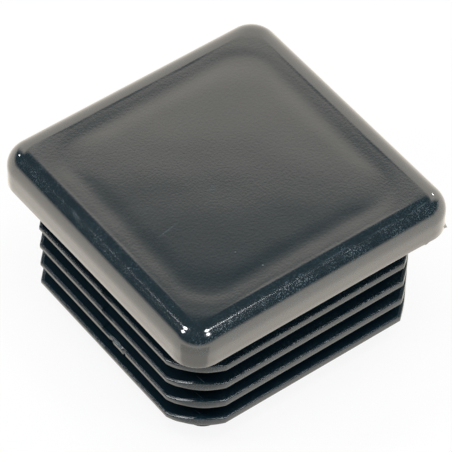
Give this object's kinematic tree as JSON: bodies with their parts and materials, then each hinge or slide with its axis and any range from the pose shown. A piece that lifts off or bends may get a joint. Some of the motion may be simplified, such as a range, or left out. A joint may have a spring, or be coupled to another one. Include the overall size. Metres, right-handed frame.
{
  "type": "square tube end cap",
  "caption": "Ribbed plug for a square tube: dished head with rounded edges, and a hollow stem whose thin fins grip the bore.",
  "frame": {"origin": "on the stem's axis, at the level of the head's underside, which is the seat on the tube's end", "axes": "+Z out of the tube through the head; X and Y square to the head's sides; the torn fin edge is on the -X side"},
  "size_m": [0.04, 0.04, 0.0244],
  "materials": {
    "cap_plastic": "black moulded low-density polyethylene, satin, scuffed along the rounded edge"
  },
  "bodies": {
    "root": {"end_cap": "cap_plastic"}
  },
  "joints": []
}
